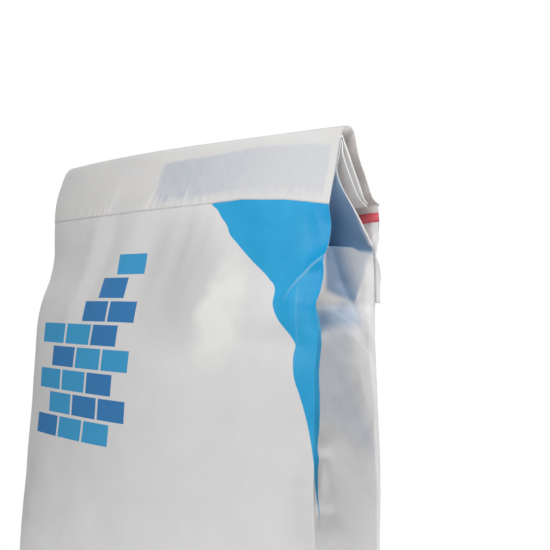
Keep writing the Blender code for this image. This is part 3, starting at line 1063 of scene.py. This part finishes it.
# %% A ribbon tree
def ribbon_tree():
    """A node group that carries a straight profile along a curve and notes how far along each point is."""
    tree = bpy.data.node_groups.new("ribbon", "GeometryNodeTree")
    tree.interface.new_socket("Geometry", in_out="INPUT", socket_type="NodeSocketGeometry")
    width = tree.interface.new_socket("Width", in_out="INPUT", socket_type="NodeSocketFloat")
    finish = tree.interface.new_socket("Finish", in_out="INPUT", socket_type="NodeSocketMaterial")
    tree.interface.new_socket("Geometry", in_out="OUTPUT", socket_type="NodeSocketGeometry")

    def node(kind, sockets, **settings):
        return add_node(tree, kind, settings, sockets).outputs

    given = node("NodeGroupInput", {})
    upright = node("GeometryNodeSetCurveNormal", {"Curve": given["Geometry"]}, mode="Z_UP")
    length = node("GeometryNodeSplineParameter", {})["Length"]
    noted = node("GeometryNodeStoreNamedAttribute", {
        "Geometry": upright["Curve"], "Name": "along", "Value": length,
    }, data_type="FLOAT")
    ends = []
    for share in (-0.5, 0.5):
        reach = node("ShaderNodeMath", {0: given["Width"], 1: share}, operation="MULTIPLY")
        ends.append(node("ShaderNodeCombineXYZ", {"Y": reach[0]})[0])
    profile = node("GeometryNodeCurvePrimitiveLine", {"Start": ends[0], "End": ends[1]})
    sweep = node("GeometryNodeCurveToMesh", {"Curve": noted["Geometry"], "Profile Curve": profile["Curve"]})
    real = node("GeometryNodeRealizeInstances", {"Geometry": sweep["Mesh"]})
    painted = node("GeometryNodeSetMaterial", {"Geometry": real["Geometry"], "Material": given["Finish"]})
    node("NodeGroupOutput", {"Geometry": painted["Geometry"]})
    return tree, width.identifier, finish.identifier


RIBBON, RIBBON_WIDTH, RIBBON_FINISH = ribbon_tree()
print("ribbon tree:", len(RIBBON.nodes), "nodes")

# %% Lay the tape along its path
TAPE_WIDTH, TAPE_THICKNESS = 0.010, 0.0004
TAPE_END = 0.0021       # how far past the sack's edge the tape ends
TAPE_CLEAR = 0.0011     # from the band's inner face to the tape's middle
TAPE_STATION = 17.5     # where along the band's section it lies


def tape_line():
    """The tape's centre line inside the back leg."""
    inside = across(through(BAND, np.array([[TAPE_STATION]])), np.linspace(0, 1, 61))[0]
    inside[:, 1] -= TAPE_CLEAR
    inside[:, 2] += -0.0012 + 0.0028 * soft_step(0.165, 0.200, inside[:, 0])
    return np.concatenate((inside, [inside[-1] + (TAPE_END, 0, 0.0003)]))


def ribbon_mesh(name, points, width, finish):
    """A ribbon along a path through the points, as a plain mesh."""
    curve = bpy.data.curves.new(name, "CURVE")
    curve.dimensions = "3D"
    spline = curve.splines.new("POLY")
    spline.points.add(len(points) - 1)
    for target, point in zip(spline.points, points):
        target.co = (*point, 1)
    path = new_object(name, curve)
    follow = path.modifiers.new("ribbon", "NODES")
    follow.node_group = RIBBON
    follow[RIBBON_WIDTH] = width
    follow[RIBBON_FINISH] = finish
    bpy.context.view_layer.update()
    mesh = bpy.data.meshes.new_from_object(path.evaluated_get(bpy.context.evaluated_depsgraph_get()))
    bpy.data.objects.remove(path)
    return mesh


tape_points = tape_line()
tape_length = float(path_lengths(tape_points[:, None])[-1, 0])
print("tape path of", len(tape_points), "points,", round(1000 * tape_length), "mm long")

# %% [markdown]
# ## The tape's finish
# The tape is red paper with a white reverse. Inside the band only its red side shows, and past the fold the
# reverse. The ribbon stored how far along the tape each point lies, and the paint reads that number.

# %% Red tape, white reverse
turn_at = tape_length + 0.001
tape_paint = Paint("tear_tape", 0.42)
fibre = tape_paint.grain(420, (1, 1, 0.25))
reds = tape_paint.blended((0.93, 0.14, 0.17, 1), (1.0, 0.20, 0.24, 1), fibre)
whites = tape_paint.blended((0.93, 0.93, 0.94, 1), (0.98, 0.98, 0.98, 1), fibre)
turned = tape_paint.stored("along").above(turn_at, 0.0003)
tape_paint.set("Base Color", tape_paint.blended(reds, whites, turned))
tape_paint.bumps(fibre, 0.0002)
tape_strip = ribbon_mesh("tape_strip", tape_points, TAPE_WIDTH, tape_paint.material)
print("tape strip:", len(tape_strip.polygons), "faces, turn at", round(turn_at, 4))

# %% The pull tail
TAIL_WIDTH = 0.0086
TAIL_IN = 0.0004        # how far the tail's edge lies inside the tape's end
TAIL = mm(  # outwards, y, drop
    (0, 65.1, 78), (0, 65, 89), (0, 64, 96.5), (1.4, 62, 101), (2.2, 60.4, 107), (0.4, 59, 115),
    (0.2, 59, 124), (1.8, 62.2, 133), (2.6, 64, 146), (1.8, 63, 158), (2.6, 64, 173),
)


def tail_mesh(finish):
    """The free end, a flat strip that hangs in loose waves."""
    line = through(TAIL, np.linspace(0, len(TAIL) - 1, 46))
    share = np.linspace(-0.5, 0.5, 7)
    x = (HALF + TAPE_END - TAIL_WIDTH / 2 - TAIL_IN + line[:, 0])[:, None] + share * TAIL_WIDTH
    drop = line[:, 2, None] + 0 * share
    y = line[:, 1, None] + 0.0005 * soft_step(0.096, 0.102, drop) * np.sin(share * 5 + drop * 120)
    points = np.stack((x, y, HEIGHT - drop), axis=-1)
    mesh = grid_mesh("tape_tail", points, points[..., (0, 2)])
    stored_number(mesh, "along", np.full(len(mesh.vertices), turn_at + 1))
    mesh.materials.append(finish)
    return mesh


def joined(name, *meshes):
    """One mesh from several that share their finish."""
    shape = bmesh.new()
    for mesh in meshes:
        shape.from_mesh(mesh)
    bmesh.ops.recalc_face_normals(shape, faces=shape.faces)
    whole = bpy.data.meshes.new(name)
    shape.to_mesh(whole)
    shape.free()
    whole.materials.append(meshes[0].materials[0])
    whole.shade_smooth()
    return whole


tape = new_object("tape", joined("tape", tape_strip, tail_mesh(tape_paint.material)))
thickened(tape, TAPE_THICKNESS, 0)
print("tape:", len(tape.data.polygons), "faces")

# %% [markdown]
# ## Paper for the sack
# The outer ply is bleached kraft paper with a smooth coating. Close up it shows fine upright fibres, a slight
# cloudiness and a dull sheen. The print on it is a curved blue corner panel, which runs a few millimetres
# round the corner, and a plain running-bond brick pattern in two blues. Print belongs to the flat sheet, so
# its masks use the flat coordinates and follow every crease.

# %% Bare paper, dusty and handled
sack_paint = Paint("sack_paper", 0.5)
over, high = sack_paint.sheet()
cloud = sack_paint.grain(22, detail=3.0)
fibre = sack_paint.grain(900, (1, 1, 0.12))
speck = sack_paint.grain(2600, detail=1.0)
bare = sack_paint.blended((0.745, 0.735, 0.735, 1), (0.845, 0.835, 0.83, 1), cloud)
bare = sack_paint.blended(bare, (0.70, 0.695, 0.69, 1), fibre * fibre * 0.35)

# Dry powder has been wiped over the panel's middle and left a pale, cloudy patch that leans to the right
DUST_MIDDLE, DUST_HALF, DUST_LEAN = (0.091, 0.357), (0.029, 0.053), 0.12
ragged = (sack_paint.grain(55, detail=4.0) - 0.5) * 1.5
beside_dust = (over - DUST_MIDDLE[0] - (high - DUST_MIDDLE[1]) * DUST_LEAN) / DUST_HALF[0]
above_dust = (high - DUST_MIDDLE[1]) / DUST_HALF[1]
dusty = 1 - (beside_dust * beside_dust + above_dust * above_dust + ragged).above(0.85, 0.95)
bare = sack_paint.blended(bare, (0.895, 0.890, 0.870, 1), dusty * 0.8)

# Hands have left the middle of the panel slightly grey
HANDS_MIDDLE, HANDS_HALF = (0.034, 0.388), (0.062, 0.080)
beside_hands, above_hands = (over - HANDS_MIDDLE[0]) / HANDS_HALF[0], (high - HANDS_MIDDLE[1]) / HANDS_HALF[1]
handled = (1 - (beside_hands * beside_hands + above_hands * above_hands)).clamped()
bare = sack_paint.blended(bare, (0.62, 0.61, 0.615, 1), handled * (1 - dusty) * 0.75)
print("bare paper:", len(sack_paint.tree.nodes), "nodes")

# %% The blue corner panel
# height, and how far across the sheet the panel's edge lies there
PANEL_EDGE = mm(
    (80, 214), (120, 211), (160, 208), (200, 204.5), (230, 199.5), (251.5, 195.8), (268.4, 191.6),
    (289.4, 184.4), (297.8, 181.1), (315, 177.9), (323.8, 177.9), (330.4, 179), (337, 175.7),
    (343.6, 170.3), (356.7, 159.2), (367.7, 154.2), (372, 154.1), (378.5, 153.9), (385, 150.8),
    (389.3, 145.3), (395.7, 137.9), (408.9, 121.1), (426.4, 101.5), (437.1, 90.3), (443.6, 87.2),
    (453.1, 79.1), (461.1, 72.5), (466.3, 65), (500, 22),
)
PANEL_LOW, PANEL_TOP = PANEL_EDGE[0][0], 0.498
WRAP = 0.0070           # how far the print runs round the corner, low down


def curve_of(paint, value, points, top):
    """A smooth curve through (place, height) points, with heights from 0 to top, read at a value."""
    low, high = points[0][0], points[-1][0]
    bend = paint.node("ShaderNodeFloatCurve", {}, {"Value": ((value - low) / (high - low)).clamped()})
    line = bend.mapping.curves[0]
    for place, height in points[1:-1]:
        line.points.new((place - low) / (high - low), height / top)
    line.points[0].location = (0, points[0][1] / top)
    line.points[-1].location = (1, points[-1][1] / top)
    bend.mapping.update()
    return Value(paint, bend.outputs[0]) * top


edge = curve_of(sack_paint, high, PANEL_EDGE, 0.25)
wrapped = over - HALF - WRAP + high.above(0.362, 0.016) * WRAP
panel = (over - edge).above(0) * (1 - wrapped.above(0)) * high.above(PANEL_LOW) * (1 - high.above(PANEL_TOP))
mottled = cloud.above(0.5, 0.5) * 0.6 + sack_paint.grain(60, detail=4.0) * 0.4
ink = sack_paint.blended((0.016, 0.340, 0.660, 1), (0.042, 0.440, 0.790, 1), mottled)
# Painted shade: the ink on the facet beside the corner is painted deeper, to offset the light that the facet
# catches
shaded_by_corner = over.above(0.184, 0.010) * high.above(0.362, 0.010)
ink = sack_paint.blended(ink, (0.002, 0.350, 0.710, 1), shaded_by_corner * 0.85)
print("panel from", round(float(PANEL_LOW), 3), "to", PANEL_TOP, "m up the sheet")

# %% The brick pattern
# Courses are counted down from the top one, and every other course is moved by half a brick
BRICK, COURSE, JOINT = 0.046, 0.026, 0.0035
BRICKS_LEFT, BRICKS_TOP, COURSES, BRICKS = -0.160, 0.424, 8, 3
down = (BRICKS_TOP - high) / COURSE
course = down.floor()
sideways = (over - BRICKS_LEFT) / BRICK + (course * 0.5).fraction()
column = sideways.floor()
inside_brick = sideways.fraction().above(JOINT / BRICK, 0.02) * down.fraction().above(JOINT / COURSE, 0.03)
first_column = (3 - course).clamped() + (2 - course).clamped()
bricks = down.above(0, 0.01) * (1 - down.above(COURSES, 0.01)) * inside_brick
bricks = bricks * column.above(first_column - 0.5, 0.01) * (1 - column.above(BRICKS - 0.5, 0.01))
shade = sack_paint.number("ShaderNodeTexWhiteNoise", {"noise_dimensions": "2D"}, {
    "Vector": sack_paint.node("ShaderNodeCombineXYZ", {}, {0: column, 1: course}).outputs[0],
}, "Value")
brick_ink = sack_paint.blended((0.060, 0.370, 0.680, 1), (0.048, 0.225, 0.520, 1), shade.above(0.5, 0.01))
print("bricks in", COURSES, "courses")

# %% The sack's colour and surface
# The pale colour of the painted highlights on the lit fold edges and at the back of the side
PAINTED_HIGHLIGHT = (0.95, 0.945, 0.94, 1)
# Painted shade: a stored share multiplies the paper by a blue-grey that stands in for shade and the blue
# light bounced into it, in the open gusset, its dent and on the side below; deeper in the gusset it is darker
deeper = 1 - ((high - 0.424) / 0.075).clamped()
in_gusset = sack_paint.blended((0.62, 0.78, 0.95, 1), (0.20, 0.44, 0.74, 1), deeper)
cast = sack_paint.blended((0.12, 0.27, 0.50, 1), in_gusset, high.above(SHOULDER - 0.001, 0.004))
with_painted_shade = sack_paint.blended(bare, cast, sack_paint.stored("painted_shade"), "MULTIPLY")
# Painted highlight: a stored share lightens the ink along the creases
printed = sack_paint.blended(with_painted_shade, ink, panel * (1 - sack_paint.stored("crease_highlight") * 0.45))
printed = sack_paint.blended(printed, brick_ink, bricks)
# Painted highlight: the lit fold edges and the back of the side are painted pale
sack_paint.set("Base Color", sack_paint.blended(printed, PAINTED_HIGHLIGHT, sack_paint.stored("painted_highlight")))

# The tube's glued lap runs up the back: one ply ends on the other, with a faint line where the glue is
SEAM, SEAM_END, GLUE_FROM, GLUE_TO = 0.842, 1.05, 0.014, 0.018
lap = over.above(SEAM, 0.0007) * (1 - over.above(SEAM_END, 0.01))
glue_line = over.above(SEAM + GLUE_FROM, 0.002) * (1 - over.above(SEAM + GLUE_TO, 0.002))
surface = fibre * 0.6 + speck * 0.4 + sack_paint.grain(120, detail=3.0) * 1.6
sack_paint.bumps(surface + lap * 2.4 + glue_line * 0.5, 0.00035)
sack_mesh.materials.append(sack_paint.material)
print("sack paint:", len(sack_paint.tree.nodes), "nodes")

# %% Painted highlights and painted shade, stored on the mesh
HIGHLIGHT_CREASES = ((SHOULDER_CREASE, 0.0008, 0.8), (CORNER_CREASE, 0.0006, 0.15))     # line, width, how strong the painted highlight along it is
# y, how shaded the side is below the dent, and at which drop that shade starts
UNDER_DENT = np.array((
    (-0.066, 0.64, 0.1650), (-0.050, 0.71, 0.1665), (-0.037, 0.73, 0.1670), (-0.0245, 0.75, 0.1652),
    (-0.018, 0.76, 0.1635), (-0.005, 0.67, 0.1625), (0.008, 0.50, 0.1620), (0.022, 0.10, 0.1620),
    (0.032, 0.00, 0.1620),
))
# each facet of the dent, by the corner and behind: its even shade, what the valley adds and how far that goes
DENT_SHADES = ((0.84, 0.06, 0.006), (0.34, 0.56, 0.028))
SMALL_SHADE, SMALL_SHADE_REACH = 0.95, (0.0215, 0.010)
# the wide dull side: its shade, and between which drops it starts and ends
DULL, DULL_STARTS, DULL_ENDS = 0.265, (0.165, 0.185), (0.300, 0.420)


def crease_highlight_share(x, z):
    """How much thin creases lighten the ink, as a painted highlight along them."""
    crease_highlight = np.zeros(z.shape)
    for line, width, highlight_strength in HIGHLIGHT_CREASES:
        signed, height = beside(line, z, x)
        crease_highlight = np.maximum(crease_highlight, highlight_strength * height / 0.004 * bell(signed, width))
    return crease_highlight


def dent_shade(y, z):
    """The shade in the dent: even by the corner, and behind the valley deepest at the valley."""
    drop = HEIGHT - z
    past_valley = y - dent_valley(drop)
    shaded_by_corner, behind = (even + added * bell(past_valley, reach) for even, added, reach in DENT_SHADES)
    below_ledge = (ROWS < LEDGE)[:, None]
    _, region = dent(y, np.where(below_ledge, np.minimum(z, HEIGHT - DENT_TOP - 1e-6), z))
    return region * np.where(past_valley > 0, behind, shaded_by_corner)


def lower_shade(y, z):
    """The shade below the dent: the smaller dent, the hollow between the two and the wide dull side."""
    drop = HEIGHT - z
    small = SMALL_SHADE * bell(y + 0.068, SMALL_SHADE_REACH[0])
    small = small * bell(drop - 0.192 + 0.15 * (y + 0.066), SMALL_SHADE_REACH[1])
    under = read(UNDER_DENT, y) * soft_step(0.203, 0.188, drop)
    under = under * soft_step(0.0, 0.016, drop - read(UNDER_DENT, y, 2))
    signed, _ = beside(SIDE_RIDGE, z, y)
    dull = DULL * soft_step(*DULL_STARTS, drop) * soft_step(*DULL_ENDS[::-1], drop)
    dull = dull * soft_step(-0.004, 0.027, signed)
    dull = dull * (1 - 0.9 * soft_step(0, 0.030, drop - 0.2935 - 0.54 * y))
    return np.maximum(1 - (1 - small) * (1 - under), dull)


def sack_notes():
    """Where the creases get a painted highlight, where the sack gets painted shade, and the painted
    highlights on its fold edges.
    """
    x, y, z = np.moveaxis(tube, -1, 0)
    drop = HEIGHT - z
    number = np.arange(len(PLACE))
    front, side, left = number < FRONT_END, (number >= FRONT_END) & (number < RIGHT_END), number >= BACK_END
    v, left_v = np.where(side, PLACE - 1, 0), np.where(left, PLACE - 3, 0)
    rows = ROWS[:, None]
    flap = rows > FLAP_START
    # Painted shade: the open gusset's pocket above the ledge, joined below with the painted shade of the dent
    # and of the side under it
    upper = soft_step(LEDGE - 0.09, LEDGE - 0.01, rows) * (rows < FLAP_START) * soft_step(0.046, 0.056, drop)
    upper = upper * (1 - 0.14 * soft_step(0.45, 0.85, v) * soft_step(0.090, 0.108, drop))
    upper = upper * (1 - 0.14 * soft_step(0.114, 0.121, drop))
    upper = upper * soft_step(0.0, 0.08, v) * soft_step(1.0, 0.93, v)
    painted_shade = np.maximum(np.maximum(upper, dent_shade(y, z)), lower_shade(y, z)) * side
    # Painted highlights: the lips of the fold edges, a strip at the back of the side and the left-hand
    # gusset's edges are painted pale where light catches them
    edges = soft_step(0.055, 0.030, v) * flap, soft_step(0.925, 0.950, v) * (rows > len(BODY) + 0.25)
    highlight_strength = 0.85 * soft_step(0.76, 0.86, v) * soft_step(0.124, 0.140, drop) * (rows < LEDGE)
    painted_highlight = np.maximum(np.maximum(*edges), highlight_strength) * side
    painted_highlight = np.maximum(painted_highlight, (np.abs(left_v - 0.5) > 0.40) * left * flap)
    return {"crease_highlight": crease_highlight_share(x, z) * front, "painted_shade": painted_shade, "painted_highlight": painted_highlight}


notes = sack_notes()
for note_name, values in notes.items():
    stored_number(sack_mesh, note_name, np.append(values.ravel(), (0, 0)))
print({note_name: round(float(values.mean()), 3) for note_name, values in notes.items()}, "on average")

# %% [markdown]
# ## Paper for the band
# The band is thinner than the sack's plies. The printed sheet below it shows through as a faint cool patch,
# and upright fibres are easy to see against the light. A short way up from its cut edge the glue has drawn it
# into small wrinkles, which are in the mesh, and one flank of each gets a painted highlight.

# %% The band's paint
band_paint = Paint("band_paper", 0.48)
over, high = band_paint.sheet()
fibre = band_paint.grain(700, (1, 1, 0.10), 3.0)
cloud = band_paint.grain(30, detail=3.0)
bare = band_paint.blended((0.745, 0.735, 0.73, 1), (0.83, 0.82, 0.81, 1), cloud)
streak = band_paint.grain(260, (1, 1, 0.10), 3.0)
top_edge = 0.0555 + over * 0.038
ragged = (band_paint.grain(90, detail=3.0) + streak - 1.0) * 0.006
patch = (over + ragged).above(-0.021, 0.007) * (1 - (over + ragged).above(0.192, 0.003))
patch = patch * (1 - (high + ragged * 0.6).above(top_edge, 0.004)) * (high + ragged * 1.5).above(0.009, 0.012)
strength = streak.above(0.5, 0.5) * 0.35 + cloud.above(0.5, 0.4) * 0.25 + 0.50
strength = strength * (1 - over.above(0.09, 0.10) * 0.45)
shown = band_paint.blended(bare, (0.570, 0.605, 0.675, 1), patch * strength)
shown = band_paint.blended(shown, (0.68, 0.675, 0.67, 1), fibre * fibre * 0.4)
# Painted highlight: one flank of each glue wrinkle is painted paler
shown = band_paint.blended(shown, (0.93, 0.92, 0.91, 1), band_paint.stored("wrinkle_highlight") * 0.75)
band_paint.set("Base Color", shown)
band_paint.bumps(fibre * 0.7 + band_paint.grain(160, detail=3.0) * 1.2, 0.0003)
print("band paint:", len(band_paint.tree.nodes), "nodes")

# %% The band's inside
# Distances along the band from its cut edge in front: the fold, painted as a highlight, the stretch painted
# in shade, and where it is painted lighter
NEAR_FOLD, SHADED, LIGHTER = (0.096, 0.020), (0.147, 0.026), (0.184, 0.012)
RIDGE = (0.098, 0.011)
band_inside = Paint("band_inside", 0.6)
_, rise_at = band_inside.sheet()
fibre = band_inside.grain(300, (1, 1, 0.12), 3.0)
# Painted light and shade: the inside is painted warm for light that comes through the thin paper, darker over
# the shaded stretch, lighter lower down and palest at the fold
warm = band_inside.blended((0.66, 0.62, 0.60, 1), (0.79, 0.755, 0.735, 1), fibre)
warm = band_inside.blended(warm, (0.52, 0.49, 0.47, 1), rise_at.around(*SHADED) * 0.6)
warm = band_inside.blended(warm, (0.92, 0.86, 0.85, 1), rise_at.above(*LIGHTER) * 0.6)
band_inside.set("Base Color", band_inside.blended(warm, (0.97, 0.955, 0.945, 1), rise_at.around(*NEAR_FOLD)))
# Painted light: an emission at the ridge stands in for the light that shines through the thin paper where it
# turns over
at_ridge = rise_at.around(*RIDGE)
glow = band_inside.blended((0, 0, 0, 1), (0.30, 0.29, 0.28, 1), at_ridge * at_ridge)
band_inside.set("Emission Color", glow)
band_inside.set("Emission Strength", 1.0)
band_inside.bumps(band_inside.grain(700, (1, 1, 0.10), 3.0), 0.0003)
band_mesh.materials.append(band_paint.material)
band_mesh.materials.append(band_inside.material)
band_wall.material_offset = 1
print("band inside:", len(band_inside.tree.nodes), "nodes")

# %% [markdown]
# ## Each piece moves with the only body, and the imported solid that it stands for is hidden.
# Each piece says which solid it stands for, which finish it takes and that it moves with the only body.

# %% Pieces and boxes
for piece, node, finish in (
    (sack, "sack", "sack_paper"), (band, "closure_band", "band_paper"), (tape, "tear_tape", "tear_tape"),
):
    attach(piece, "root")
    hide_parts(node)
